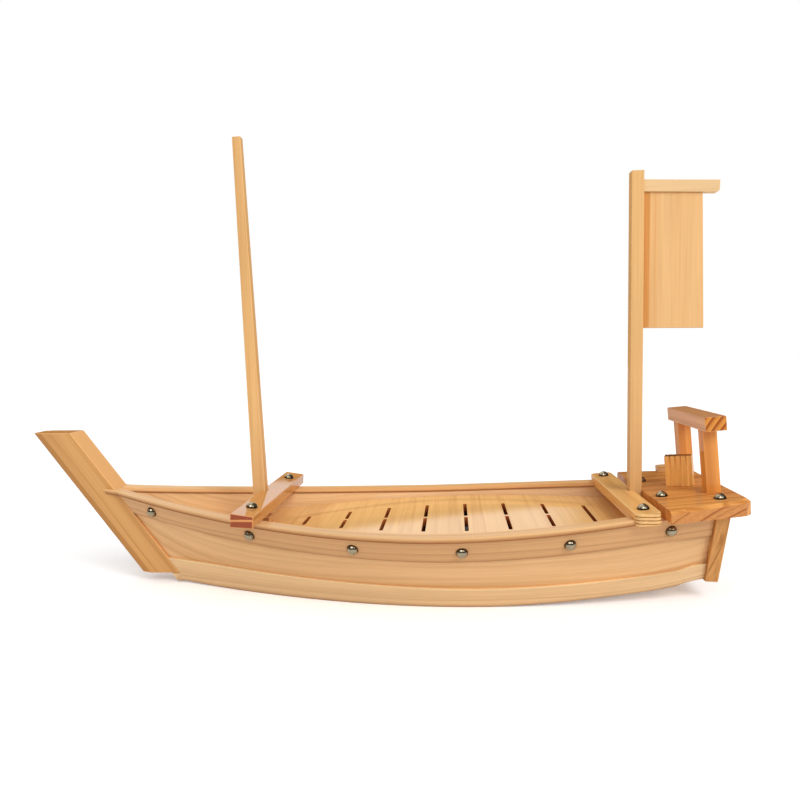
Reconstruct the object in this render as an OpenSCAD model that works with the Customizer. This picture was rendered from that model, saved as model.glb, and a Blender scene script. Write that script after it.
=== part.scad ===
// Sushi serving boat: planked hull, slotted deck, two lift-out masts and a gate-shaped handle.
// Millimetres. X runs from the stem (-X) to the stern (+X), Y to starboard, Z up from the resting face.

/* [Overall] */
// Length from the top of the stem to the after edge of the stern deck
length_over_all = 713; // [640:1:780]
// Width over the rails where the hull is widest
beam_over_rails = 238; // [210:2:270]

/* [Hull lines] */
// Half width of the hull's top edge at the transom
top_half_stern = 69; // [60:1:80]
// Place of the widest top edge between stem (0) and transom (1)
top_widest_at = 0.59; // [0.5:0.01:0.65]
// Half width of the hull's bottom edge where it is widest
low_half = 75; // [65:1:85]
// Half width of the hull's bottom edge at the transom
low_half_stern = 49; // [42:1:56]
// Place of the widest bottom edge between stem (0) and transom (1)
low_widest_at = 0.54; // [0.48:0.01:0.6]
// Height of the planks' top edge at the stem
sheer_bow = 94; // [88:1:104]
// Height of the planks' top edge where it is lowest
sheer_low = 72.5; // [70:0.5:78]
// Height of the planks' top edge behind the rear beam
sheer_seat = 84.9; // [83.5:0.1:88]
// Height of the planks' top edge at the transom
sheer_stern = 86.9; // [85.5:0.1:92]
// Place of the lowest top edge between stem (0) and transom (1)
sheer_low_at = 0.54; // [0.45:0.01:0.62]
// Height of the hull's bottom at the stem
keel_bow = 2.2; // [1:0.2:4]
// Height of the hull's bottom at the transom, before the upward kick
keel_stern = 17; // [10:0.5:20]
// Upward kick of the bottom edge just before the transom
keel_kick = 3.5; // [0:0.5:6]
// Front end of the flat resting face, between stem (0) and transom (1)
flat_from = 0.16; // [0.12:0.01:0.3]
// After end of the flat resting face, between stem (0) and transom (1)
flat_to = 0.57; // [0.5:0.01:0.65]

/* [Stem and transom] */
// Thickness of the stem board
stem_t = 28; // [22:1:34]
// Width of the stem board, measured level
stem_w = 42; // [34:1:50]
// Height of the top of the stem
stem_top = 160; // [140:2:180]
// Height of the stem's foot
stem_foot = 9.9; // [8.5:0.1:13]
// Forward lean of the stem in degrees
stem_rake = 37.2; // [30:0.2:40]
// Chamfer on the front edges of the stem, along its sides
stem_chamfer_side = 8; // [4:0.5:10]
// Chamfer on the front edges of the stem, across its front
stem_chamfer_front = 3.5; // [2:0.5:5]
// Thickness of the transom
transom_t = 12; // [9:0.5:15]
// Lean of the transom in degrees
transom_rake = 2.3; // [0:0.1:6]
// How far the transom stands proud of the planking
transom_proud = 4; // [2:0.5:6]
// How far the transom reaches below the planking
transom_drop = 2; // [0:0.5:4]
// Length from the transom's front to the after edge of the stern deck
stern_overhang = 29.5; // [24:0.5:36]

/* [Planking] */
// Thickness of the side planks
plank_t = 6.5; // [5:0.5:8]
// How far wale and lower strake stand proud of the planks
wale_proud = 3; // [1.5:0.25:4]
// Height of the wale at the stem
wale_h_bow = 20; // [16:1:24]
// Height of the wale at the transom
wale_h_stern = 22.5; // [18:0.5:26]
// Height of the lower strake at the stem
strake_h_bow = 28; // [20:1:32]
// Height of the lower strake at the transom
strake_h_stern = 16; // [13:0.5:20]
// How much the lower strake narrows where it meets the stem
strake_nip = 4; // [0:0.5:6]
// Thickness of the bottom board
bottom_t = 8; // [6:0.5:8.5]
// Length of the bottom board's nose under the stem's foot
nose_len = 9; // [6:1:14]
// Thickness of the rails
rail_t = 5; // [4:0.5:6]
// Overhang of the rails outside the wale
rail_out = 3; // [2:0.5:5]
// Overhang of the rails inside the planks
rail_in = 2; // [1:0.5:4]
// Length of the rails' lap on the stem's sides
rail_lap = 13; // [8:1:18]

/* [Deck] */
// Thickness of the deck board
deck_t = 9; // [6:0.5:10]
// Height of the deck's top face amidships
deck_z = 65.1; // [62:0.5:67]
// Upward slope of the deck towards the stern in degrees
deck_slope = 1.6; // [0.5:0.1:2]
// Number of slot rows
slot_count = 8; // [5:1:10]
// Length from the middle of the fore beam to the first slot row
slot_from_fore = 37; // [30:0.5:45]
// Length from the last slot row to the middle of the rear beam
slot_from_rear = 33; // [28:0.5:45]
// Width of a slot
slot_w = 3.8; // [2.5:0.1:5]
// Half length of the longest slot row
slot_half = 58; // [44:1:64]
// Radius of the arc that the slot ends follow
slot_arc_r = 345; // [320:5:420]
// How far the longest slot lies behind the middle of the slotted field
slot_arc_back = 21; // [0:1:30]
// Web between the two halves of a slot row
slot_web = 5; // [3:0.5:12]
// Thickness of the floor frames
frame_t = 10; // [7:0.5:13]

/* [Beams] */
// Length from the top of the stem to the middle of the fore beam
fore_beam_from_bow = 253; // [243:1:265]
// Width of the fore beam along the boat
fore_beam_w = 21.3; // [18:0.5:26]
// Thickness of the fore beam at its front edge
fore_beam_t = 13; // [11.5:0.5:14.5]
// Thickness of the fore beam at its after edge
fore_beam_t_aft = 11.3; // [9:0.1:13]
// Half length of the fore beam
fore_beam_half = 106; // [98:1:112]
// Length from the middle of the rear beam to the after edge of the stern deck
rear_beam_from_stern = 96.5; // [92:0.5:108]
// Width of the rear beam along the boat
rear_beam_w = 23; // [19:0.5:26]
// Thickness of the rear beam
rear_beam_t = 11.3; // [10:0.1:13]
// Half length of the rear beam
rear_beam_half = 100; // [94:1:108]
// Radius of the rear beam's ends in plan
rear_beam_r = 6.5; // [2:0.5:8]

/* [Masts] */
// Side of the square fore mast at the foot
fore_mast_w = 13; // [10:0.5:14]
// Side of the square fore mast at the top
fore_mast_tip = 8.8; // [6:0.2:12]
// Length of the fore mast
fore_mast_len = 399; // [340:1:440]
// Forward lean of the fore mast in degrees
fore_mast_lean = 1.95; // [0:0.05:4]
// Side of the square rear mast
rear_mast_w = 11.8; // [9:0.2:12.4]
// Length of the rear mast
rear_mast_len = 339; // [310:1:380]
// Running clearance round a mast, and under its foot
mast_gap = 0.3; // [0.2:0.05:0.6]
// Side of the square mast steps
step_w = 20.5; // [20:0.5:24]
// Height of the mast steps
step_h = 7; // [5:0.5:9]
// Length of the yard
yard_len = 72; // [62:0.5:90]
// Height of the yard
yard_h = 11.5; // [9:0.5:16]
// Thickness of the yard
yard_t = 9; // [7:0.5:11]
// Radius of the yard's lower outer corner
yard_r = 3; // [1:0.5:4.5]
// Downward slope of the yard in degrees
yard_droop = 2.2; // [0:0.1:4]
// Length from the top of the rear mast down to the yard
yard_down = 8.6; // [4:0.2:14]
// Width of the flag board under the yard
flag_w = 57; // [40:0.5:60]
// Width of the flag board at its foot
flag_w_low = 59.4; // [42:0.2:64]
// Height of the flag board at the mast
flag_h = 133; // [100:1:150]
// Height of the flag board at its outer edge
flag_h_out = 131.7; // [98:0.1:150]
// Thickness of the flag board
flag_t = 4.5; // [3:0.5:6]

/* [Stern deck and handle] */
// Gap between the rear beam and the stern deck
stern_deck_gap = 7; // [6:0.5:9]
// Thickness of the stern deck at its front edge
stern_deck_t = 11.3; // [9:0.1:13]
// Thickness of the stern deck at its after edge
stern_deck_t_aft = 15; // [12:0.5:17]
// Half width of the stern deck's front edge
stern_deck_half = 99; // [92:1:106]
// Half width of the stern deck's after edge
stern_deck_aft = 78; // [74:1:86]
// Chamfer round the stern deck's top edge
stern_deck_chamfer = 3; // [1:0.5:4]
// Side of the square handle posts
post_w = 13; // [10:0.5:15]
// Height of the handle posts
post_h = 60.5; // [52:0.5:70]
// Distance of the posts' middle from the centreline
post_y = 36; // [33:0.5:42]
// Length from the stern deck's front edge to the posts' middle
post_x = 57; // [55:0.5:59]
// Width of the lintel along the boat
lintel_w = 19.6; // [18:0.4:24]
// Thickness of the lintel
lintel_t = 13.5; // [11:0.5:16]
// Half length of the lintel
lintel_half = 55; // [50:1:64]
// How far the lintel's middle lies behind the posts' middle
lintel_back = 1.5; // [0:0.25:2.5]
// Length of the fluted block's broad face
fluted_l = 25.5; // [22:0.5:28]
// Depth of the fluted block
fluted_w = 14; // [11:0.5:18]
// Height of the fluted block
fluted_h = 30.5; // [24:0.5:36]
// Length from the stern deck's front edge to the fluted block's middle
fluted_x = 40.6; // [38:0.2:42]
// Turn of the fluted block towards the bow in degrees
fluted_turn = 22; // [0:1:30]
// Number of flutes on each side of the block
flute_count = 5; // [3:1:7]
// Depth of a flute
flute_depth = 1.6; // [0.8:0.2:2.4]
// Length of the small block along the boat
small_l = 13; // [10:1:14]
// Width of the small block
small_w = 10; // [7:0.5:10]
// Height of the small block
small_h = 7.5; // [5:0.5:12]

/* [Fixings] */
// Diameter of the domed nail heads
nail_d = 11.2; // [8:0.2:11.6]
// Height of the domed nail heads
nail_h = 5.2; // [3:0.2:5.6]
// Diameter of the nail shanks
shank_d = 2.4; // [1.8:0.2:3]
// Number of nails in each wale
wale_nail_count = 6; // [4:1:8]
// Distance of the beam nails from the inner face of the planks
beam_nail_in = 2; // [1.8:0.1:2.6]
// Diameter of the hidden dowels
dowel_d = 5; // [4:0.5:6]

/* [Hidden] */
$fn = 48;

// Thin gap left between glued faces that are built from flat facets
glue = 0.08;
// Room left between a bent plank and a straight piece fitted inside it
bend_gap = 0.7;
// Extra length of cutting shapes
over = 1;
// Radial room round a dowel in its hole
dowel_gap = 0.05;
stem_half = stem_t / 2;
top_half = beam_over_rails / 2 - rail_out;
x_bow = -length_over_all / 2;
x_stern = length_over_all / 2;

// Hull surface: u runs from the stem (0) to the transom (1), t from the bottom edge (0) to the top edge (1)
function swell(u, bow, mid, stern, at) = u < at
    ? bow + (mid - bow) * sin(90 * u / at)
    : stern + (mid - stern) * cos(90 * (u - at) / (1 - at));
function top_b(u) = swell(u, stem_half, top_half, top_half_stern, top_widest_at);
function low_b(u) = swell(u, stem_half, low_half, low_half_stern, low_widest_at);
function sheer_z(u) = u < sheer_low_at
    ? sheer_low + (sheer_bow - sheer_low) * pow((sheer_low_at - u) / sheer_low_at, 2)
    : u < seat_u ? sheer_low + (sheer_seat - sheer_low) * pow((u - sheer_low_at) / (seat_u - sheer_low_at), 1.6)
    : mix(sheer_seat, sheer_stern, (u - seat_u) / (1 - seat_u));
function mix(a, b, t) = a + (b - a) * t;
rear_beam_x = x_stern - rear_beam_from_stern;
rear_beam_front = rear_beam_x - rear_beam_w / 2;
rear_beam_back = rear_beam_x + rear_beam_w / 2;
stern_deck_x = rear_beam_back + stern_deck_gap;
x_top_bow = stem_after_x(sheer_bow) + glue;
x_top_stern = x_stern - stern_overhang;
seat_u = (rear_beam_back - x_top_bow) / (x_top_stern - x_top_bow);
kick_from = 0.93;
kick_to = 0.985;
function soft_step(s) = s <= 0 ? 0 : s >= 1 ? 1 : s * s * (3 - 2 * s);
function keel_z(u) = u < flat_from
    ? keel_bow * pow((flat_from - u) / flat_from, 2)
    : u < flat_to ? 0
    : keel_stern * pow((u - flat_to) / (1 - flat_to), 1.6)
        + keel_kick * soft_step((u - kick_from) / (kick_to - kick_from));

// Ends of the planks: the stem's raked after face and the transom's raked front face
function stem_after_x(z) = x_bow + stem_w + (stem_top - z) * tan(stem_rake);
x_low_bow = stem_after_x(keel_z(0)) + glue;
x_low_stern = x_top_stern - (sheer_z(1) - keel_z(1)) * tan(transom_rake);
function x_at(u, t) = mix(mix(x_low_bow, x_low_stern, u), mix(x_top_bow, x_top_stern, u), t);
function z_at(u, t) = mix(keel_z(u), sheer_z(u), t);
function b_at(u, t) = mix(low_b(u), top_b(u), t);
function skin(u, t, inset) = [x_at(u, t), b_at(u, t) - inset, z_at(u, t)];
function wale_t(u) = 1 - mix(wale_h_bow, wale_h_stern, u) / (sheer_z(u) - keel_z(u));
nip_to = 0.15;
function strake_h(u) = mix(strake_h_bow, strake_h_stern, u) - strake_nip * pow(max(0, 1 - u / nip_to), 2);
function strake_t(u) = strake_h(u) / (sheer_z(u) - keel_z(u));

// Place on the hull surface for a given length and height, found by stepping closer a few times
function u_for(x, t) = let (a = x_at(0, t), b = x_at(1, t)) min(1, max(0, (x - a) / (b - a)));
function ut_for(x, z, t = 0.6, turns = 5) = let (u = u_for(x, t))
    turns == 0 ? [u, t] : ut_for(x, z, (z - keel_z(u)) / (sheer_z(u) - keel_z(u)), turns - 1);
function inside_half(x, z) = let (q = ut_for(x, z)) b_at(q[0], q[1]) - wale_proud - plank_t;
function sheer_at_x(x) = sheer_z(u_for(x, 1));

// Stations of the bent pieces, closer together at the kick near the transom
station_step = 0.04;
stations = concat([for (i = [0 : 22]) i * station_step], [seat_u, 0.945, 0.96, 0.975, 0.9875, 1]);

// Solid through a row of rings that all have the same number of points
function ring_faces(n, k) = [
    for (i = [0 : n - 2], j = [0 : k - 1])
        let (a = i * k + j, b = i * k + (j + 1) % k)
        each [[a, a + k, b + k], [a, b + k, b]]
];
function cap_faces(n, k) = [[for (j = [0 : k - 1]) j], [for (j = [k - 1 : -1 : 0]) (n - 1) * k + j]];
function turned(faces) = [for (f = faces) [for (j = [len(f) - 1 : -1 : 0]) f[j]]];
module loft(rings, turn = false) {
    n = len(rings);
    k = len(rings[0]);
    faces = concat(ring_faces(n, k), cap_faces(n, k));
    polyhedron(points = [for (r = rings) each r], faces = turn ? turned(faces) : faces, convexity = 6);
}

// Plate that stands across the boat: points are [y, z], x0 is its front face
module cross_plate(points, x0, thick) {
    translate([x0, 0, 0]) rotate([90, 0, 90]) linear_extrude(height = thick) polygon(points);
}

// Profile seen from the side: points are [x, z], centred on the centreline
module side_plate(points, thick) {
    rotate([90, 0, 0]) linear_extrude(height = thick, center = true) polygon(points);
}

module box_at(x0, x1, half, z0, z1) {
    translate([x0, -half, z0]) cube([x1 - x0, 2 * half, z1 - z0]);
}

module port() {
    mirror([0, 1, 0]) children();
}

// Stem board: a chamfered section run along the raked stem and cut level at head and foot
module stem_post() {
    deep = stem_w * cos(stem_rake);
    run = (stem_top + stem_w) / cos(stem_rake);
    section = [
        [0, -stem_half], [0, stem_half], [-deep + stem_chamfer_side, stem_half],
        [-deep, stem_half - stem_chamfer_front], [-deep, -stem_half + stem_chamfer_front],
        [-deep + stem_chamfer_side, -stem_half]
    ];
    color("tan") intersection() {
        translate([x_bow + stem_w, 0, stem_top]) rotate([0, -stem_rake, 0])
            linear_extrude(height = 2 * run, center = true) polygon(section);
        box_at(x_bow - over, 0, stem_t, stem_foot, stem_top);
    }
}

// Nose under the stem's foot, seen from the side; back moves its after edge towards the stern
nose_top = stem_foot - glue;
nose_heel = stem_after_x(keel_z(0));
nose_head = stem_after_x(nose_top);
module nose(half, back) {
    side_plate([
        [nose_head - nose_len, nose_top], [nose_heel - nose_len, keel_z(0)],
        [nose_heel + back, keel_z(0)], [nose_head + back, nose_top]
    ], 2 * half);
}

// Bottom board: bent strip between the planks with a tongue and a nose under the stem's foot
module bottom_board() {
    inset = wale_proud + plank_t + glue;
    tongue = stem_half - inset - glue;
    color("burlywood") union() {
        loft([for (u = stations) let (b = low_b(u) - inset, z = keel_z(u), x = x_at(u, 0))
            [[x, -b, z], [x, b, z], [x, b, z + bottom_t], [x, -b, z + bottom_t]]]);
        nose(stem_half - wale_proud - glue, -glue);
        box_at(nose_head - nose_len / 2, nose_heel + nose_len, tongue, keel_z(0), nose_top);
    }
}

// Transom: tapered board across the planks' after ends
module transom() {
    z0 = keel_z(1) - transom_drop;
    z1 = sheer_z(1);
    slope = (top_b(1) - low_b(1)) / (z1 - keel_z(1));
    half_low = low_b(1) + transom_proud - slope * transom_drop;
    half_top = top_b(1) + transom_proud;
    up = (z1 - z0) / cos(transom_rake);
    color("tan") translate([x_top_stern + glue, 0, z1]) rotate([0, transom_rake, 0])
        cross_plate([[-half_low, -up], [half_low, -up], [half_top, 0], [-half_top, 0]], 0, transom_t);
}

// Side plank: bent board whose face is parted where wale and strake lie on it
module side_plank() {
    out = wale_proud;
    in = wale_proud + plank_t;
    loft([for (u = stations) let (s = strake_t(u), w = wale_t(u)) [
        skin(u, 0, out), skin(u, s, out), skin(u, w, out), skin(u, 1, out),
        skin(u, 1, in), skin(u, w, in), skin(u, s, in), skin(u, 0, in)
    ]]);
}

// Proud strip on the plank's face between two heights
module strip(low_t, high_t) {
    loft([for (i = [0 : len(stations) - 1]) let (u = stations[i], a = low_t[i], b = high_t[i])
        [skin(u, a, wale_proud), skin(u, b, wale_proud), skin(u, b, 0), skin(u, a, 0)]], true);
}

module wale() {
    strip([for (u = stations) wale_t(u)], [for (u = stations) 1]);
}

// The lower strake's front end also covers the side of the nose under the stem's foot
nose_bite = 0.2;
module lower_strake() {
    union() {
        strip([for (u = stations) 0], [for (u = stations) strake_t(u)]);
        intersection() {
            nose(stem_half, glue + nose_bite);
            translate([x_bow, stem_half - wale_proud + glue, 0]) cube([length_over_all, stem_t, stem_top]);
        }
    }
}

// Rail: cap on the plank's top edge, lapped on the stem in front, stopped by the rear beam behind
module rail() {
    u_end = u_for(rear_beam_front - glue, 1);
    us = concat([for (u = stations) if (u < u_end - station_step / 4) u], [u_end]);
    lean = rail_t * tan(stem_rake);
    in = wale_proud + plank_t + rail_in;
    rise = rail_lap * (sheer_z(0) - sheer_z(station_step)) / (x_at(station_step, 1) - x_at(0, 1));
    z0 = sheer_z(0);
    side = stem_half + glue;
    tip_t = 1.2;
    union() {
        loft([for (u = us) let (x = x_at(u, 1), b = top_b(u), z = sheer_z(u), back = lean * (1 - u)) [
            [x, b + rail_out, z + glue], [x - back, b + rail_out, z + rail_t],
            [x - back, b - in, z + rail_t], [x, b - in, z + glue]
        ]]);
        loft([for (s = [[x_top_bow - rail_lap, rise, tip_t], [x_top_bow + over, 0, rail_out]]) [
            [s[0], side + s[2], z0 + s[1]], [s[0] - lean, side + s[2], z0 + s[1] + rail_t],
            [s[0] - lean, side, z0 + s[1] + rail_t], [s[0], side, z0 + s[1]]
        ]]);
    }
}

// Cross beams. The fore beam lies on the rails, the rear beam on the planks, both along the sheer
fore_beam_x = x_bow + fore_beam_from_bow;
fore_beam_seat = sheer_at_x(fore_beam_x) + rail_t;
fore_beam_tilt = atan2(sheer_at_x(fore_beam_x - fore_beam_w / 2) - sheer_at_x(fore_beam_x + fore_beam_w / 2),
    fore_beam_w);
fore_beam_slope = atan2(fore_beam_t - fore_beam_t_aft, fore_beam_w);
rear_beam_seat = sheer_at_x(rear_beam_front);
rear_beam_tilt = atan2(sheer_at_x(rear_beam_back) - rear_beam_seat, rear_beam_w);

// Deck frame of reference: level line across, sloping up to the stern
module on_deck() {
    translate([0, 0, deck_z]) rotate([0, -deck_slope, 0]) children();
}
function deck_top(x) = deck_z + x * tan(deck_slope);
deck_stem_gap = 1;
function deck_front(down) = stem_after_x(deck_top(stem_after_x(deck_z)) - down) + deck_stem_gap;
deck_back = x_top_stern - (sheer_stern - deck_z) * tan(transom_rake) - bend_gap;
deck_steps = 24;

// Outline of the deck at a depth below its top face, following the flare of the planks and the stem's rake
function deck_ring(down) =
    let (xs = [for (i = [0 : deck_steps]) mix(deck_front(down), deck_back, i / deck_steps)],
        edge = [for (x = xs) [x, inside_half(x, deck_top(x) - down) - bend_gap]])
    [for (s = [1, -1], i = [0 : deck_steps])
        let (p = edge[s > 0 ? i : deck_steps - i]) [p[0], s * p[1], -down]];
slot_first = fore_beam_x + slot_from_fore;
slot_last = rear_beam_x - slot_from_rear;
slot_pitch = (slot_last - slot_first) / (slot_count - 1);
slot_middle = (slot_first + slot_last) / 2 + slot_arc_back;

module slot_between(x, y0, y1) {
    r = slot_w / 2;
    translate([x - r, y0 + r]) square([slot_w, y1 - y0 - slot_w]);
    translate([x, y0 + r]) circle(r = r);
    translate([x, y1 - r]) circle(r = r);
}

// Slot rows shorten towards bow and stern; the first and the last run through the centreline
module deck_slots() {
    for (i = [0 : slot_count - 1]) {
        x = slot_first + i * slot_pitch;
        half = slot_half - pow(x - slot_middle, 2) / (2 * slot_arc_r);
        if (i == 0 || i == slot_count - 1) {
            slot_between(x, -half, half);
        } else {
            slot_between(x, slot_web / 2, half);
            slot_between(x, -half, -slot_web / 2);
        }
    }
}

module deck_board() {
    color("goldenrod") on_deck() difference() {
        loft([deck_ring(deck_t), deck_ring(0)], true);
        translate([0, 0, -deck_t - over]) linear_extrude(height = deck_t + 2 * over) deck_slots();
    }
}

// Floor frame: plate that fits between the planks, from the bottom board up to the deck
module floor_frame(x) {
    x0 = x - frame_t / 2;
    x1 = x + frame_t / 2;
    z0 = bottom_t + glue + max(keel_z(u_for(x0, 0)), keel_z(u_for(x1, 0)));
    z1 = deck_top(x0) - deck_t / cos(deck_slope);
    zs = [for (i = [0 : 4]) mix(z0, z1, i / 4)];
    side = [for (z = zs) [min(inside_half(x0, z), inside_half(x1, z)) - bend_gap, z]];
    color("burlywood") cross_plate(concat(side, [for (i = [4 : -1 : 0]) [-side[i][0], side[i][1]]]), x0, frame_t);
}
frame_end_gap = 2;
frame_first = fore_beam_x - frame_end_gap;
frame_pitch = (rear_beam_x - frame_first) / 3;

module on_fore_beam() {
    translate([fore_beam_x, 0, fore_beam_seat]) rotate([0, fore_beam_tilt, 0]) children();
}

module fore_beam() {
    color("peru") difference() {
        on_fore_beam() side_plate([
            [-fore_beam_w / 2, glue], [fore_beam_w / 2, glue],
            [fore_beam_w / 2, fore_beam_t_aft], [-fore_beam_w / 2, fore_beam_t]
        ], 2 * fore_beam_half);
        fore_mast_axis() mast_blank(fore_mast_w + 2 * mast_gap, fore_mast_len);
    }
}

module on_rear_beam() {
    translate([rear_beam_front, 0, rear_beam_seat]) rotate([0, -rear_beam_tilt, 0]) children();
}

module rear_beam() {
    r = rear_beam_r;
    color("burlywood") difference() {
        on_rear_beam() translate([0, 0, glue]) linear_extrude(height = rear_beam_t - glue) union() {
            translate([0, r - rear_beam_half]) square([rear_beam_w, 2 * (rear_beam_half - r)]);
            translate([r, -rear_beam_half]) square([rear_beam_w - 2 * r, 2 * rear_beam_half]);
            for (x = [r, rear_beam_w - r], s = [-1, 1]) translate([x, s * (rear_beam_half - r)]) circle(r = r);
        }
        rear_mast_axis() mast_blank(rear_mast_w + 2 * mast_gap, rear_mast_len);
    }
}

// Masts. Each stands half in its beam's outer edge, with its foot in a step on the deck
fore_mast_off = 0.2;
rear_mast_off = 0.4;
fore_mast_x = fore_beam_x - fore_beam_w / 2 + fore_mast_off;
fore_mast_foot = deck_top(fore_mast_x) + mast_gap
    + fore_mast_w / 2 * abs(tan(fore_mast_lean) - tan(deck_slope));
rear_mast_x = rear_beam_back + rear_mast_off;
rear_mast_foot = deck_top(rear_mast_x + rear_mast_w / 2) + mast_gap;
fore_mast_straight = 36;

module fore_mast_axis() {
    translate([fore_mast_x, 0, fore_mast_foot]) rotate([0, -fore_mast_lean, 0]) children();
}

module rear_mast_axis() {
    translate([rear_mast_x, 0, rear_mast_foot]) children();
}

module mast_blank(side, len) {
    translate([-side / 2, -side / 2, -step_h]) cube([side, side, len + step_h]);
}

// The fore mast tapers on all four faces: two side profiles cut into each other
module mast_profile() {
    a = fore_mast_w / 2;
    b = fore_mast_tip / 2;
    rotate([90, 0, 0]) linear_extrude(height = 2 * fore_mast_w, center = true) polygon([
        [-a, 0], [a, 0], [a, fore_mast_straight], [b, fore_mast_len],
        [-b, fore_mast_len], [-a, fore_mast_straight]
    ]);
}

module fore_mast() {
    color("wheat") fore_mast_axis() intersection() {
        mast_profile();
        rotate([0, 0, 90]) mast_profile();
    }
}

module mast_step(x) {
    on_deck() box_at(x / cos(deck_slope) - step_w / 2, x / cos(deck_slope) + step_w / 2, step_w / 2, glue, step_h);
}

module fore_step() {
    color("burlywood") difference() {
        mast_step(fore_mast_x);
        fore_mast_axis() mast_blank(fore_mast_w + 2 * mast_gap, fore_mast_len);
    }
}

module rear_step() {
    color("burlywood") difference() {
        mast_step(rear_mast_x);
        rear_mast_axis() mast_blank(rear_mast_w + 2 * mast_gap, rear_mast_len);
    }
}

// Yard and flag board are fixed to the rear mast's after face and lift out with it
rear_mast_top = rear_mast_foot + rear_mast_len;
yard_x = rear_mast_x + rear_mast_w / 2;
yard_z = rear_mast_top - yard_down - yard_h;
dowel_in_mast = 7;
dowel_in_yard = 16;

module yard_bore(r, room) {
    translate([yard_x - dowel_in_mast - room, 0, yard_z + yard_h / 2]) rotate([0, 90, 0])
        cylinder(r = r, h = dowel_in_mast + dowel_in_yard + 2 * room);
}

module rear_mast() {
    color("wheat") difference() {
        rear_mast_axis() translate([-rear_mast_w / 2, -rear_mast_w / 2, 0])
            cube([rear_mast_w, rear_mast_w, rear_mast_len]);
        yard_bore(dowel_d / 2 + dowel_gap, over);
    }
}

// The yard slopes down a little and is cut upright where it meets the mast
module yard_outline() {
    intersection() {
        rotate(-yard_droop) union() {
            translate([-yard_h, yard_r]) square([yard_len + yard_h, yard_h - yard_r]);
            translate([-yard_h, 0]) square([yard_len + yard_h - yard_r, yard_h]);
            translate([yard_len - yard_r, yard_r]) circle(r = yard_r);
        }
        translate([0, -yard_len]) square(2 * yard_len);
    }
}

module yard() {
    color("wheat") difference() {
        translate([yard_x, 0, yard_z]) rotate([90, 0, 0]) linear_extrude(height = yard_t, center = true)
            yard_outline();
        yard_bore(dowel_d / 2 + dowel_gap, over);
    }
}

module yard_dowel() {
    color("tan") yard_bore(dowel_d / 2, 0);
}

module flag_board() {
    drop = flag_w * tan(yard_droop);
    color("orange") translate([yard_x, 0, yard_z]) side_plate([
        [0, -glue], [flag_w, -glue - drop], [flag_w_low, -drop - flag_h_out], [0, -flag_h]
    ], flag_t);
}

// Stern deck: its underside runs from the plank tops behind the rear beam up to the transom's top
stern_deck_seat = sheer_at_x(stern_deck_x);
stern_tilt = atan2(sheer_stern - stern_deck_seat, x_top_stern - stern_deck_x);
stern_deck_len = (x_stern - stern_deck_x) / cos(stern_tilt);
stern_wedge = atan2(stern_deck_t_aft - stern_deck_t, stern_deck_len);
stern_corner = 6;

module on_stern_deck() {
    translate([stern_deck_x, 0, stern_deck_seat + glue]) rotate([0, -stern_tilt, 0]) children();
}

module on_stern_top() {
    on_stern_deck() translate([0, 0, stern_deck_t]) rotate([0, -stern_wedge, 0]) children();
}

// Outline of the stern deck at a share of its thickness, drawn in from the sides and the after edge
function stern_deck_ring(inset, down, share) =
    let (x = stern_deck_len - inset, a = stern_deck_aft - inset, f = stern_deck_half - inset, c = stern_corner)
    [for (p = [[0, -f], [x - c, -a], [x, -a + c], [x, a - c], [x - c, a], [0, f]])
        [p[0], p[1], share * mix(stern_deck_t, stern_deck_t_aft, p[0] / stern_deck_len) - down]];

module post_bores(r, down, up) {
    for (s = [-1, 1])
        translate([post_x, s * post_y, -down]) cylinder(r = r, h = down + up);
}
dowel_in_deck = 6;
dowel_in_post = 12;
dowel_in_lintel = 8;

module stern_deck() {
    color("peru") difference() {
        on_stern_deck() loft([
            stern_deck_ring(0, 0, 0), stern_deck_ring(0, stern_deck_chamfer, 1), stern_deck_ring(stern_deck_chamfer, 0, 1)
        ]);
        on_stern_top() post_bores(dowel_d / 2 + dowel_gap, dowel_in_deck + dowel_gap, over);
    }
}

// Batten under the front edge of the stern deck, between the planks
cleat_w = 12;
cleat_h = 9;
cleat_gap = 1.5;
cleat_nail_edge = 5;
cleat_x = rear_mast_x + step_w / 2 + cleat_gap;

module stern_cleat() {
    x0 = cleat_x - stern_deck_x;
    z = stern_deck_seat - cleat_h;
    half = min(inside_half(cleat_x, z), inside_half(cleat_x + cleat_w, z)) - bend_gap;
    color("burlywood") on_stern_deck() box_at(x0, x0 + cleat_w, half, -cleat_h, -glue);
}

module post(s) {
    color("tan") on_stern_top() difference() {
        translate([post_x - post_w / 2, s * post_y - post_w / 2, glue]) cube([post_w, post_w, post_h - glue]);
        post_bores(dowel_d / 2 + dowel_gap, over, dowel_in_post + dowel_gap);
        translate([0, 0, post_h]) post_bores(dowel_d / 2 + dowel_gap, dowel_in_post + dowel_gap, over);
    }
}

module post_dowels() {
    color("tan") on_stern_top() post_bores(dowel_d / 2, dowel_in_deck, dowel_in_post);
}

module lintel() {
    x0 = post_x + lintel_back - lintel_w / 2;
    color("burlywood") on_stern_top() difference() {
        box_at(x0, x0 + lintel_w, lintel_half, post_h + glue, post_h + lintel_t);
        translate([0, 0, post_h]) post_bores(dowel_d / 2 + dowel_gap, over, dowel_in_lintel + dowel_gap);
    }
}

module lintel_dowels() {
    color("tan") on_stern_top() translate([0, 0, post_h]) post_bores(dowel_d / 2, dowel_in_post, dowel_in_lintel);
}

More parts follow.
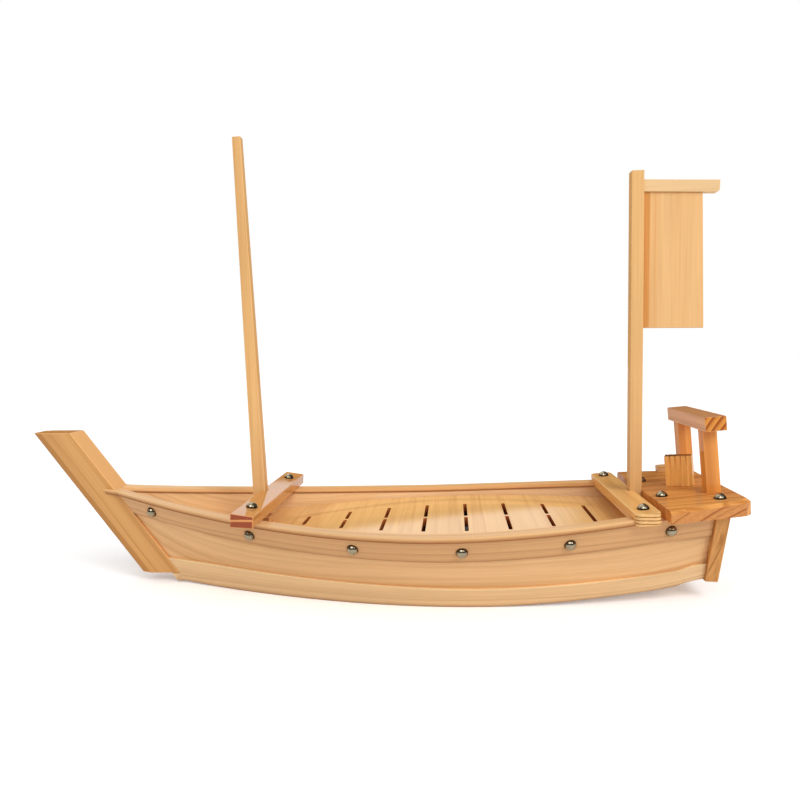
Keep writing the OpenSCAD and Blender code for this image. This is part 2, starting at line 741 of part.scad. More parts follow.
// Block with upright flutes on both broad faces, turned a little towards the bow
fluted_y = 3.5;
flute_land = 0.8;
module fluted_block() {
    pitch = fluted_l / flute_count;
    r = (pow((pitch - flute_land) / 2, 2) + pow(flute_depth, 2)) / (2 * flute_depth);
    color("tan") on_stern_top() translate([fluted_x, fluted_y, 0]) rotate([0, 0, -fluted_turn]) difference() {
        box_at(-fluted_l / 2, fluted_l / 2, fluted_w / 2, glue, fluted_h);
        for (i = [0 : flute_count - 1], s = [-1, 1])
            translate([pitch * (i + 0.5) - fluted_l / 2, s * (fluted_w / 2 + r - flute_depth), -over])
                cylinder(r = r, h = fluted_h + 2 * over);
    }
}

small_x = 38.5;
small_y = 71.5;

module small_block() {
    color("wheat") on_stern_top() translate([small_x, small_y, glue]) cube([small_l, small_w, small_h - glue]);
}

// Domed nail: spherical cap on a plain shank, driven along -Z
nail_sink = 0.25;

module nail(shank) {
    r = (pow(nail_d / 2, 2) + pow(nail_h, 2)) / (2 * nail_h);
    translate([0, 0, -nail_sink]) union() {
        intersection() {
            translate([0, 0, nail_h - r]) sphere(r = r);
            cylinder(d = nail_d + over, h = nail_h + over);
        }
        translate([0, 0, -shank]) cylinder(d = shank_d, h = shank + nail_h / 2);
    }
}

// Wale nails sit square to the planking at mid-height of the wale
nail_u_first = 0.06;
nail_u_span = 0.8675;
nail_u_power = 0.92;
wale_shank = 6;

module wale_nails() {
    d = 0.01;
    for (k = [0 : wale_nail_count - 1]) {
        u = nail_u_first + nail_u_span * pow(k / (wale_nail_count - 1), nail_u_power);
        t = (1 + wale_t(u)) / 2;
        n = cross(skin(u, t + d, 0) - skin(u, t - d, 0), skin(u + d, t, 0) - skin(u - d, t, 0));
        translate(skin(u, t, 0)) rotate([0, acos(n[2] / norm(n)), atan2(n[1], n[0])]) nail(wale_shank);
    }
}

function beam_nail_y(x) = top_b(u_for(x, 1)) - wale_proud - plank_t + beam_nail_in;
rear_nail_grip = 5;

module fore_beam_nails() {
    y = beam_nail_y(fore_beam_x);
    t = (fore_beam_t + fore_beam_t_aft) / 2;
    color("silver") on_fore_beam() for (s = [-1, 1])
        translate([0, s * y, t]) rotate([0, fore_beam_slope, 0]) nail(t + rail_t / 2);
}

module rear_beam_nails() {
    y = beam_nail_y(rear_beam_x);
    color("silver") on_rear_beam() for (s = [-1, 1])
        translate([rear_beam_w / 2, s * y, rear_beam_t]) nail(rear_beam_t + rear_nail_grip);
}

stern_nail_front = [cleat_x - stern_deck_x + cleat_nail_edge, 37];
stern_nail_back = [54, 65];
stern_nail_grip = 3.5;

module stern_deck_nails() {
    color("silver") on_stern_top() for (s = [-1, 1], p = [stern_nail_front, stern_nail_back])
        translate([p[0], s * p[1], 0]) nail(stern_deck_t_aft + stern_nail_grip);
}

bottom_board();
stem_post();
transom();
color("burlywood") port() side_plank();  // port_side_plank
color("burlywood") side_plank();  // starboard_side_plank
color("tan") port() wale();  // port_wale
color("tan") wale();  // starboard_wale
color("tan") port() lower_strake();  // port_lower_strake
color("tan") lower_strake();  // starboard_lower_strake
color("wheat") port() rail();  // port_rail
color("wheat") rail();  // starboard_rail
deck_board();
floor_frame(frame_first);  // frame_1
floor_frame(frame_first + frame_pitch);  // frame_2
floor_frame(frame_first + 2 * frame_pitch);  // frame_3
floor_frame(frame_first + 3 * frame_pitch);  // frame_4
fore_step();
rear_step();
fore_beam();
rear_beam();
fore_mast();
rear_mast();
yard();
yard_dowel();
flag_board();
stern_cleat();
stern_deck();
post(-1);  // port_post
post(1);  // starboard_post
post_dowels();
lintel();
lintel_dowels();
fluted_block();
small_block();
color("silver") port() wale_nails();  // port_wale_nails
color("silver") wale_nails();  // starboard_wale_nails
fore_beam_nails();
rear_beam_nails();
stern_deck_nails();
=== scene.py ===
import math

import bmesh
import bpy
import numpy as np
from mathutils import Matrix, Vector


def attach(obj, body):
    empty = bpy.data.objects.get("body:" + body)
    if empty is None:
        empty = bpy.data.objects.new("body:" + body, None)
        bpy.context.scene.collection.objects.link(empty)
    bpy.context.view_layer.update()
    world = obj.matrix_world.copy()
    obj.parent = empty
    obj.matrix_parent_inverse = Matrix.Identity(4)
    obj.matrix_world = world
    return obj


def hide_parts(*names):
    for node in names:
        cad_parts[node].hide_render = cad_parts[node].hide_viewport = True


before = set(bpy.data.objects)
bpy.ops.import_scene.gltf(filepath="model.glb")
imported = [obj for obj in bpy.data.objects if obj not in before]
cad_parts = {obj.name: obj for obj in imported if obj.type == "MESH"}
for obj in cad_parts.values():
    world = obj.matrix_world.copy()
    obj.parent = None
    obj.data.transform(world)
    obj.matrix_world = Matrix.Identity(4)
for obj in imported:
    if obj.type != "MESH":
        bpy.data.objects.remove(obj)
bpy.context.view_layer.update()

# Bottom board, floor frames, mast steps, cleat and dowels: the plain planed pine that stays mostly out of
# sight. The boards are sawn to shape, glued in place and only lightly oiled.
ALONG_X = (0, math.radians(-90), 0)
ALONG_Y = (math.radians(90), 0, 0)
X_END = (1, 0, 0)
Y_END = (0, 1, 0)


def linear(red, green, blue):
    # Colour as seen on a screen, 0 to 255, turned into the light values that a shader takes.
    return [((c / 255 + 0.055) / 1.055) ** 2.4 for c in (red, green, blue)] + [1.0]


def link(tree, out_socket, in_socket):
    tree.links.new(out_socket, in_socket)


def set_inputs(tree, pairs):
    # Each socket takes a plain value or the output of another node.
    for socket, value in pairs:
        if isinstance(value, (int, float, list, tuple)):
            socket.default_value = value
        else:
            link(tree, value, socket)


def math_node(tree, operation, a, b=0.0):
    node = tree.nodes.new("ShaderNodeMath")
    node.operation = operation
    set_inputs(tree, zip(node.inputs, (a, b)))
    return node.outputs[0]


def vector_node(tree, operation, a, b=(0, 0, 0)):
    node = tree.nodes.new("ShaderNodeVectorMath")
    node.operation = operation
    set_inputs(tree, zip(node.inputs, (a, b)))
    return node.outputs["Value"] if operation in ("LENGTH", "DOT_PRODUCT") else node.outputs[0]


MIX_FACTOR = 0
MIX_COLOUR_A = 6
MIX_COLOUR_B = 7
MIX_COLOUR_OUT = 2


def mix_colour(tree, factor, a, b, blend="MIX"):
    # The mix node has sockets for every kind of value, so those for colours are picked by their place.
    node = tree.nodes.new("ShaderNodeMix")
    node.data_type = "RGBA"
    node.blend_type = blend
    set_inputs(tree, ((node.inputs[MIX_FACTOR], factor),
                      (node.inputs[MIX_COLOUR_A], a),
                      (node.inputs[MIX_COLOUR_B], b)))
    return node.outputs[MIX_COLOUR_OUT]


def ramp(tree, factor, stops, bend="LINEAR"):
    node = tree.nodes.new("ShaderNodeValToRGB")
    node.color_ramp.interpolation = bend
    while len(node.color_ramp.elements) < len(stops):
        node.color_ramp.elements.new(0.5)
    for element, (place, level) in zip(node.color_ramp.elements, stops):
        element.position = place
        element.color = (level, level, level, 1.0)
    link(tree, factor, node.inputs[0])
    return node.outputs[0]


def stretched_noise(tree, vector, scale, detail=2.0, rough=0.55):
    # Scale is in waves per metre along each direction of the vector.
    noise = tree.nodes.new("ShaderNodeTexNoise")
    set_inputs(tree, ((noise.inputs["Vector"], vector_node(tree, "MULTIPLY", vector, scale)),
                      (noise.inputs["Scale"], 1.0),
                      (noise.inputs["Detail"], detail),
                      (noise.inputs["Roughness"], rough)))
    return noise.outputs["Fac"]


def line_noise(tree, along, scale):
    noise = tree.nodes.new("ShaderNodeTexNoise")
    noise.noise_dimensions = "1D"
    set_inputs(tree, ((noise.inputs["W"], along),
                      (noise.inputs["Scale"], scale),
                      (noise.inputs["Detail"], 1.0)))
    return noise.outputs["Fac"]


NOISE_MIDDLE = 0.5
NOISE_LOW = 0.3
NOISE_HIGH = 0.7


def spread(tree, noise, low, high):
    # Noise lies mostly near its middle, so that span is drawn out to the two levels.
    return ramp(tree, noise, ((NOISE_LOW, low), (NOISE_HIGH, high)))


SLOW_BEND = (11, 11, 3.0)
SLOW_SHARE = 7
QUICK_BEND = (55, 55, 8.0)
SPACING_WAVES = 0.37
SPACING_YEARS = 2.6
YEAR_GROWTH = ((0.0, 0.0), (0.5, 0.22), (0.84, 1.0), (1.0, 0.0))
YEAR_STRENGTH = ((0.0, 0.12), (0.62, 0.42), (0.9, 1.0))


def year_rings(tree, grain, ring, waver, even):
    # Rings round the Z line: each year darkens slowly and stops short, and the low waves of the noise bend
    # the rings along the board. At even 0 their spacing and strength wander, at even 1 all years are alike.
    slow = math_node(tree, "SUBTRACT", stretched_noise(tree, grain, SLOW_BEND), NOISE_MIDDLE)
    quick = math_node(tree, "SUBTRACT", stretched_noise(tree, grain, QUICK_BEND), NOISE_MIDDLE)
    drift = math_node(tree, "MULTIPLY", slow, waver * SLOW_SHARE)
    drift = math_node(tree, "ADD", drift, math_node(tree, "MULTIPLY", quick, waver))
    radius = vector_node(tree, "LENGTH", vector_node(tree, "MULTIPLY", grain, (1, 1, 0)))
    years = math_node(tree, "DIVIDE", math_node(tree, "ADD", radius, drift), ring)
    uneven = math_node(tree, "SUBTRACT", line_noise(tree, years, SPACING_WAVES), NOISE_MIDDLE)
    years = math_node(tree, "ADD", years, math_node(tree, "MULTIPLY", uneven, SPACING_YEARS * (1 - even)))
    growth = ramp(tree, math_node(tree, "FRACT", years), YEAR_GROWTH, "EASE")
    dice = tree.nodes.new("ShaderNodeTexWhiteNoise")
    dice.noise_dimensions = "1D"
    link(tree, math_node(tree, "FLOOR", years), dice.inputs["W"])
    strength = ramp(tree, dice.outputs["Value"], YEAR_STRENGTH)
    return math_node(tree, "MULTIPLY", growth, math_node(tree, "MAXIMUM", strength, even))


def own_value(tree, name):
    # A value that a piece carries on its mesh; it reads as 0 on pieces that lack it.
    own = tree.nodes.new("ShaderNodeAttribute")
    own.attribute_name = name
    return own


CLOUD_WAVES = (15, 15, 4.0)
BAND_WAVES = (110, 110, 1.8)
BAND_DETAIL = 3.0
BAND_EDGES = ((0.4, 0.0), (0.72, 1.0))
FIBRE_WAVES = (800, 800, 14.0)
FAINT_YEARS = 0.55
FIBRE_TONES = (0.93, 1.03)
CLOUD_TONES = (0.94, 1.04)
END_FIBRE_TONES = (0.86, 1.06)
HEART_REACH = 1.25
HEART_CORE = 0.6
HIGHLIGHT_GAIN = 1.25
HIGHLIGHT_LIFT = 0.04
FIBRE_ROUGHNESS = 0.16
LACQUER_ROUGHNESS = 0.04
YEAR_RELIEF = 0.4
GRAIN_BUMP = 0.1
GRAIN_DEPTH = 0.0004


def pine(name, early, late, end, end_line, lie=ALONG_X, pith=(0.0, 0.05, 0.0), ring=0.006, waver=0.002,
         contrast=0.8, streak=0.5, gloss=0.36, coat=0.5, bent=False, axis=X_END, even=0.0,
         end_edges=(0.1, 0.45), end_faces=(0.72, 0.93), hearts=(), edge_wear_and_highlight=0.35,
         painted_shade_sharp=1.0, crest_highlight=0.0, crest_highlight_sharp=8.0):
    # Lacquered solid pine: year rings round a pith that lies off the board, fibres and soft streaks along
    # the grain, its own tone on cut ends, painted shade where a piece marks it, and paler edges and crests
    # that are partly wear and partly painted highlight. lie brings the grain onto Z; bent boards bring
    # their own grain coordinates. hearts are darker bands across the grain.
    mat = bpy.data.materials.new(name)
    mat.use_nodes = True
    tree = mat.node_tree
    shader = tree.nodes["Principled BSDF"]
    coords = tree.nodes.new("ShaderNodeTexCoord")
    if bent:
        place = own_value(tree, "grain").outputs["Vector"]
    else:
        turned = tree.nodes.new("ShaderNodeMapping")
        turned.inputs["Rotation"].default_value = lie
        link(tree, coords.outputs["Object"], turned.inputs["Vector"])
        place = turned.outputs[0]
    grain = vector_node(tree, "ADD", place, pith)

    year = year_rings(tree, grain, ring, waver, even)
    cloud = stretched_noise(tree, grain, CLOUD_WAVES)
    band = stretched_noise(tree, grain, BAND_WAVES, BAND_DETAIL)
    fibre = stretched_noise(tree, grain, FIBRE_WAVES)
    depth = math_node(tree, "MULTIPLY", year, spread(tree, cloud, FAINT_YEARS * contrast, contrast))
    streaks = math_node(tree, "MULTIPLY", ramp(tree, band, BAND_EDGES, "EASE"), streak)
    tone = math_node(tree, "MAXIMUM", depth, streaks)
    # Painted shade: marked faces and points are darkened towards the late colour, standing in for shade
    # under boards, in recesses and on faces turned from the light.
    painted_shade = math_node(tree, "POWER", own_value(tree, "painted_shade").outputs["Fac"], painted_shade_sharp)
    tone = math_node(tree, "MAXIMUM", tone, painted_shade)
    for middle, half, strength in hearts:
        across = vector_node(tree, "DOT_PRODUCT", place, (1, 0, 0))
        off = math_node(tree, "ABSOLUTE", math_node(tree, "SUBTRACT", across, middle))
        share = math_node(tree, "DIVIDE", off, HEART_REACH * half)
        heart = ramp(tree, share, ((HEART_CORE, strength), (1.0, 0.0)))
        tone = math_node(tree, "MAXIMUM", tone, heart)
    colour = mix_colour(tree, tone, early, late)
    colour = mix_colour(tree, 1.0, colour, spread(tree, fibre, *FIBRE_TONES), "MULTIPLY")
    colour = mix_colour(tree, 1.0, colour, spread(tree, cloud, *CLOUD_TONES), "MULTIPLY")

    line_from, line_full = end_edges
    end_tone = mix_colour(tree, ramp(tree, year, ((line_from, 0.0), (line_full, 1.0))), end, end_line)
    end_tone = mix_colour(tree, 1.0, end_tone, spread(tree, fibre, *END_FIBRE_TONES), "MULTIPLY")
    facing = math_node(tree, "ABSOLUTE", vector_node(tree, "DOT_PRODUCT", coords.outputs["Normal"], axis))
    end_from, end_full = end_faces
    cut = ramp(tree, facing, ((end_from, 0.0), (end_full, 1.0)))
    colour = mix_colour(tree, cut, colour, end_tone)

    # Bevelled edges are painted paler, partly as rubbed wear and partly as a painted highlight where light
    # catches them; painted shade keeps them dark.
    pale_highlight = [min(1.0, c * HIGHLIGHT_GAIN + HIGHLIGHT_LIFT) for c in early[:3]] + [1.0]
    wear_and_highlight = math_node(tree, "MULTIPLY", own_value(tree, "worn_edge_and_highlight").outputs["Fac"], edge_wear_and_highlight)
    wear_and_highlight = math_node(tree, "MULTIPLY", wear_and_highlight, math_node(tree, "SUBTRACT", 1.0, painted_shade))
    # Crests take a painted highlight: upper edges and faces that catch the light are painted paler.
    crest_lit = math_node(tree, "POWER", own_value(tree, "crest_highlight").outputs["Fac"], crest_highlight_sharp)
    wear_and_highlight = math_node(tree, "MAXIMUM", wear_and_highlight, math_node(tree, "MULTIPLY", crest_lit, crest_highlight))
    link(tree, mix_colour(tree, wear_and_highlight, colour, pale_highlight), shader.inputs["Base Color"])

    rough = math_node(tree, "ADD", math_node(tree, "MULTIPLY", fibre, FIBRE_ROUGHNESS), gloss)
    link(tree, rough, shader.inputs["Roughness"])
    shader.inputs["Specular IOR Level"].default_value = 0.0
    shader.inputs["Coat Weight"].default_value = coat
    shader.inputs["Coat Roughness"].default_value = LACQUER_ROUGHNESS
    relief = math_node(tree, "ADD", math_node(tree, "MULTIPLY", year, YEAR_RELIEF), fibre)
    bump = tree.nodes.new("ShaderNodeBump")
    bump.inputs["Strength"].default_value = GRAIN_BUMP
    bump.inputs["Distance"].default_value = GRAIN_DEPTH
    link(tree, relief, bump.inputs["Height"])
    link(tree, bump.outputs[0], shader.inputs["Normal"])
    return mat


WELD = 0.000002
FLAT_ANGLE = math.radians(0.4)
SHARP_ANGLE = math.radians(28)
SHADED_SHARP_ANGLE = math.radians(50)


def eased_copy(node, edge, steps):
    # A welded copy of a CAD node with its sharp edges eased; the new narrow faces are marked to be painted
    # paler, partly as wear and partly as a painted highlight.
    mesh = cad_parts[node].data.copy()
    mesh.name = node + "_dressed"
    shape = bmesh.new()
    shape.from_mesh(mesh)
    bmesh.ops.remove_doubles(shape, verts=shape.verts, dist=WELD)
    bmesh.ops.dissolve_limit(shape, angle_limit=FLAT_ANGLE, verts=shape.verts, edges=shape.edges)
    wear_and_highlight = shape.faces.layers.float.new("worn_edge_and_highlight")
    sharp = [e for e in shape.edges if len(e.link_faces) == 2 and e.calc_face_angle() > SHARP_ANGLE]
    made = bmesh.ops.bevel(shape, geom=sharp, offset=edge, offset_type="OFFSET", affect="EDGES",
                           segments=steps, profile=0.5, material=-1, clamp_overlap=True)
    for face in made["faces"]:
        face[wear_and_highlight] = 1.0
    for face in shape.faces:
        face.smooth = True
    shape.to_mesh(mesh)
    shape.free()
    mesh.set_sharp_from_angle(angle=SHADED_SHARP_ANGLE)
    return mesh


def dress(node, body, material, edge=0.0008, steps=2):
    # The node's eased copy takes its place, rides its body and carries its finish.
    mesh = eased_copy(node, edge, steps)
    mesh.materials.clear()
    mesh.materials.append(material)
    piece = bpy.data.objects.new(node + "_piece", mesh)
    bpy.context.scene.collection.objects.link(piece)
    even = piece.modifiers.new("even normals", "WEIGHTED_NORMAL")
    even.keep_sharp = True
    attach(piece, body)
    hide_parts(node)
    return piece


plain_pine = pine("plain planed pine", early=linear(236, 192, 138), late=linear(190, 134, 82),
                  end=linear(176, 122, 74), end_line=linear(140, 90, 50), gloss=0.5, coat=0.05)
plain_cross = pine("plain cross pine", early=linear(230, 178, 122), late=linear(180, 124, 74),
                   end=linear(170, 116, 70), end_line=linear(132, 84, 46), lie=ALONG_Y, axis=Y_END,
                   pith=(0.03, 0.06, 0.0), gloss=0.5, coat=0.05)
dress("bottom_board", "hull", plain_pine)
for name in ("frame_1", "frame_2", "frame_3", "frame_4", "stern_cleat", "fore_step", "rear_step"):
    dress(name, "hull", plain_cross, edge=0.0006)
for name in ("post_dowels", "lintel_dowels"):
    dress(name, "hull", plain_pine, edge=0.0003)
dress("yard_dowel", "rear_mast", plain_pine, edge=0.0003)

# Stem: one thick raked board of lacquered pine whose straight grain runs up the bow. Its two front edges
# are planed to a long chamfer, painted darker as shade since it faces away from the light. The planks butt
# against its after face, painted paler as a highlight on the lit side.
STEM_RAKE = math.radians(37.2)
FRONT_TURN = -0.3
FRONT_SHADE = 0.8
BACK_TURN = 0.5


def mark_faces(piece, name, chosen, level=1.0):
    # Gives a value that the finish reads to the faces whose normal passes the test.
    values = [level if chosen(face.normal) else 0.0 for face in piece.data.polygons]
    piece.data.attributes.new(name, "FLOAT", "FACE").data.foreach_set("value", values)


stem_pine = pine("stem pine", early=linear(214, 160, 98), late=linear(180, 122, 60),
                 end=linear(150, 100, 56), end_line=linear(108, 68, 34), lie=(0, STEM_RAKE, 0),
                 axis=(-math.sin(STEM_RAKE), 0, math.cos(STEM_RAKE)), pith=(0.30, 0.05, 0.0),
                 ring=0.0075, waver=0.0015, streak=0.6, crest_highlight=0.9, crest_highlight_sharp=1.0)
stem = dress("stem_post", "hull", stem_pine, edge=0.001, steps=3)
# The front chamfer faces take painted shade and the after faces a painted highlight.
mark_faces(stem, "painted_shade", lambda normal: normal.x < FRONT_TURN, FRONT_SHADE)
mark_faces(stem, "crest_highlight", lambda normal: normal.x > BACK_TURN)

# Transom: a single board of upright-grained pine across the stern. The planks and the bottom end against
# it, and its own ends are left proud of the planking.
ALONG_Z = (0, 0, 0)
Z_END = (0, 0, 1)
transom_pine = pine("transom pine", early=linear(216, 156, 90), late=linear(160, 100, 44),
                    end=linear(176, 120, 66), end_line=linear(130, 80, 40), lie=ALONG_Z, axis=Z_END,
                    pith=(-0.29, 0.09, 0.0), ring=0.007, waver=0.004, contrast=1.0, streak=0.8)
dress("transom", "hull", transom_pine, edge=0.001)

# Side planks, wales and lower strakes: thin pine boards bent round the frames. The wale is nailed and the
# strake glued on proud of the plank, and the grain follows the bend of each board.
CURVE_DEGREE = 4
LOW_STATIONS = 24
SIDE_SHIFTS = {"port": (0.0, 0.0, 0.0), "starboard": (0.013, 0.021, 3.0)}


def points_of(mesh):
    flat = np.empty(len(mesh.vertices) * 3)
    mesh.vertices.foreach_get("co", flat)
    return flat.reshape(-1, 3)


def off_curve(along, values):
    # How far each value lies from the smooth curve that the whole board follows.
    return values - np.polyval(np.polyfit(along, values, CURVE_DEGREE), along)


def lay_grain(mesh, shift):
    # Grain coordinates of a bent board: across and through the board from its own mean curve, then along.
    points = points_of(mesh)
    x, y, z = points[:, 0], np.abs(points[:, 1]), points[:, 2]
    places = np.column_stack((off_curve(x, z), off_curve(x, y), x)) + shift
    mesh.attributes.new("grain", "FLOAT_VECTOR", "POINT").data.foreach_set("vector", places.ravel())


def mark_underside(mesh):
    # The painted shade value of a bent board rises from 0 at its upper edge to 1 at its lower one, for
    # painted shade along its lower edge; its crest highlight value does the opposite, for a painted
    # highlight on the upper edge.
    points = points_of(mesh)
    x = points[:, 0]
    off = off_curve(x, points[:, 2])
    stations = np.linspace(x.min(), x.max(), LOW_STATIONS)
    reach = stations[1] - stations[0]
    low = np.interp(x, stations, [off[np.abs(x - s) < reach].min() for s in stations])
    high = np.interp(x, stations, [off[np.abs(x - s) < reach].max() for s in stations])
    share = np.clip((off - low) / (high - low), 0.0, 1.0)
    mesh.attributes.new("painted_shade", "FLOAT", "POINT").data.foreach_set("value", 1.0 - share)
    mesh.attributes.new("crest_highlight", "FLOAT", "POINT").data.foreach_set("value", share)


plank_pine = pine("plank pine", early=linear(236, 190, 138), late=linear(198, 144, 86),
                  end=linear(180, 124, 72), end_line=linear(140, 90, 50), bent=True,
                  pith=(0.0, 0.035, 0.0), ring=0.0075, waver=0.0016, coat=0.2)
# The wale's and strake's late colours also serve as painted shade along their lower edges; the strake's
# edges and upper edge are painted pale as a highlight.
wale_pine = pine("wale pine", early=linear(222, 171, 118), late=linear(140, 86, 44),
                 end=linear(180, 124, 72), end_line=linear(140, 90, 50), bent=True,
                 pith=(0.05, 0.03, 0.0), ring=0.008, waver=0.0014, contrast=0.4, streak=0.25,
                 painted_shade_sharp=14.0)
strake_pine = pine("strake pine", early=linear(238, 199, 149), late=linear(150, 96, 50),
                   end=linear(184, 128, 76), end_line=linear(140, 90, 50), bent=True,
                   pith=(0.03, 0.04, 0.0), ring=0.007, waver=0.0014, contrast=0.35, streak=0.2,
                   edge_wear_and_highlight=1.0, painted_shade_sharp=12.0, crest_highlight=1.0, crest_highlight_sharp=24.0)
for side, shift in SIDE_SHIFTS.items():
    plank = dress(side + "_side_plank", "hull", plank_pine, edge=0.0005, steps=1)
    lay_grain(plank.data, shift)
    wale = dress(side + "_wale", "hull", wale_pine, edge=0.0009)
    lay_grain(wale.data, shift)
    mark_underside(wale.data)
    strake = dress(side + "_lower_strake", "hull", strake_pine, edge=0.0018, steps=3)
    lay_grain(strake.data, shift)
    mark_underside(strake.data)

# Rails: slim pine caps glued on the plank tops, lapped on the stem's sides and stopped at the rear beam.
# Their edges are painted pale, partly as wear and partly as a painted highlight, and painted shade runs
# dark along their lower edge.
RAIL_SHIFTS = {"port": (0.0, 0.0, 0.0), "starboard": (0.011, 0.017, 3.0)}
RAIL_SHARPS = {"port": 1.0, "starboard": 3.0}
for side, shift in RAIL_SHIFTS.items():
    rail_pine = pine(side + " rail pine", early=linear(244, 195, 137), late=linear(140, 76, 30),
                     end=linear(196, 140, 88), end_line=linear(150, 98, 54), bent=True,
                     pith=(0.03, 0.03, 0.0), ring=0.006, waver=0.0014, contrast=0.4, streak=0.2,
                     coat=0.3, edge_wear_and_highlight=0.9, painted_shade_sharp=RAIL_SHARPS[side])
    rail = dress(side + "_rail", "hull", rail_pine, edge=0.0009)
    lay_grain(rail.data, shift)
    mark_underside(rail.data)

# Deck: one board of cross-grained pine under a high gloss lacquer, with eight rows of routed drain slots
# whose walls are left rough and are painted dark as shade in the slots.
SLOT_TURN = 0.5
deck_pine = pine("deck pine", early=linear(253, 200, 128), late=linear(190, 108, 54),
                 end=linear(190, 108, 54), end_line=linear(170, 94, 46), lie=ALONG_Y, axis=Y_END,
                 pith=(0.05, -0.02, 0.0), ring=0.012, waver=0.003, contrast=0.36, streak=0.22,
                 gloss=0.4, coat=0.75)
deck = dress("deck_board", "hull", deck_pine, edge=0.0005)
# Upright faces, the slot walls and the board's own edges, take painted shade.
mark_faces(deck, "painted_shade", lambda normal: abs(normal.z) < SLOT_TURN)

# Cross beams: flat pine battens laid over the hull and nailed through; each is notched for a mast. The fore
# beam's cut ends are dark with one pale ring, the rear beam's are pale with a few dark ones.
FORE_BEAM_X = -0.1035
REAR_BEAM_X = 0.260
fore_beam_pine = pine("fore beam pine", early=linear(216, 150, 82), late=linear(186, 118, 54),
                      end=linear(150, 62, 14), end_line=linear(222, 150, 84), lie=ALONG_Y, axis=Y_END,
                      pith=(-FORE_BEAM_X, -1.996, 0.0), ring=0.0125, waver=0.0009, contrast=0.4,
                      streak=0.3, coat=1.0, even=1.0, end_edges=(0.7, 0.95))
rear_beam_pine = pine("rear beam pine", early=linear(248, 190, 116), late=linear(208, 140, 70),
                      end=linear(236, 188, 124), end_line=linear(160, 98, 42), lie=ALONG_Y, axis=Y_END,
                      pith=(-REAR_BEAM_X, -2.0, 0.0), ring=0.0031, waver=0.0003, contrast=0.5,
                      even=1.0, end_edges=(0.25, 0.7), end_faces=(0.2, 0.5))
dress("fore_beam", "hull", fore_beam_pine, edge=0.0007)
dress("rear_beam", "hull", rear_beam_pine, edge=0.0009)

# Masts, yard and flag board: straight light pine. The masts are loose and lift out; the yard is dowelled
# and the flag board glued to the rear mast. The flag board has a wide and a narrow dark band by the mast.
MAST_FACE_X = 0.2778
WIDE_BAND = (MAST_FACE_X + 0.0034, 0.0033, 1.0)
NARROW_BAND = (MAST_FACE_X + 0.0118, 0.0007, 0.5)
mast_pine = pine("mast pine", early=linear(232, 184, 124), late=linear(202, 144, 82),
                 end=linear(196, 140, 84), end_line=linear(150, 98, 52), lie=ALONG_Z, axis=Z_END,
                 pith=(0.14, 0.03, 0.0), waver=0.001, coat=0.2)
yard_pine = pine("yard pine", early=linear(240, 203, 153), late=linear(218, 168, 114),
                 end=linear(206, 150, 94), end_line=linear(160, 108, 60),
                 pith=(0.40, 0.04, 0.0), waver=0.001, coat=0.2)
flag_pine = pine("flag pine", early=linear(235, 187, 130), late=linear(216, 150, 84),
                 end=linear(206, 148, 88), end_line=linear(160, 108, 60), lie=ALONG_Z, axis=Z_END,
                 pith=(-0.29, 0.06, 0.0), ring=0.011, waver=0.001, contrast=0.4, streak=0.25, coat=0.2,
                 hearts=(WIDE_BAND, NARROW_BAND))
dress("fore_mast", "fore_mast", mast_pine)
dress("rear_mast", "rear_mast", mast_pine)
dress("yard", "rear_mast", yard_pine, edge=0.0009)
dress("flag_board", "rear_mast", flag_pine)

# Stern deck: a wider pine board with bold grain, laid over the stern and nailed to the cleat and the
# transom. It is chamfered round its top and lacquered.
STERN_GRAIN = (0, math.radians(-85.5), 0)
stern_pine = pine("stern deck pine", early=linear(234, 164, 90), late=linear(170, 94, 36),
                  end=linear(206, 138, 76), end_line=linear(164, 94, 42), lie=STERN_GRAIN, axis=Y_END,
                  pith=(0.02, 0.03, 0.0), ring=0.004, waver=0.004, contrast=1.0, streak=0.7,
                  end_edges=(0.05, 0.7))
dress("stern_deck", "hull", stern_pine)

# Handle: two square pine posts and a lintel dowelled together like a gate, with the fluted block between
# the posts and the small pale block by the starboard edge. Each post has one dark band up its sides.
POST_RAKE = math.radians(4.66)
POST_EDGE = 0.3355
POST_BAND = (POST_EDGE + 0.0040, 0.0028, 0.42)
post_pine = pine("post pine", early=linear(240, 164, 82), late=linear(180, 94, 28),
                 end=linear(178, 108, 50), end_line=linear(130, 70, 28), lie=(0, POST_RAKE, 0), axis=Z_END,
                 pith=(-0.29, 0.06, 0.0), ring=0.007, waver=0.0016, contrast=0.7, hearts=(POST_BAND,))
for name in ("port_post", "starboard_post"):
    dress(name, "hull", post_pine)

FLUTED_TURN = math.radians(22)
FLUTE_DEPTH = 0.0016
FLUTED_FACING = 0.3


def mark_flutes(mesh):
    # The narrow lands between the flutes are painted as dark lines, painted shade of the reeds. A land lies
    # on the block's face, and a flute below it; the block's plain sides keep their own tone.
    across = Vector((math.sin(FLUTED_TURN), math.cos(FLUTED_TURN), 0.0))
    place = points_of(mesh) @ np.array(across)
    half = (place.max() - place.min()) / 2
    below_face = half - np.abs(place - (place.max() + place.min()) / 2)
    land = np.clip(1.0 - below_face / FLUTE_DEPTH, 0.0, 1.0)
    lines = np.zeros(len(mesh.loops))
    for face in mesh.polygons:
        if abs(face.normal.dot(across)) > FLUTED_FACING:
            for corner in face.loop_indices:
                lines[corner] = land[mesh.loops[corner].vertex_index]
    mesh.attributes.new("painted_shade", "FLOAT", "CORNER").data.foreach_set("value", lines)


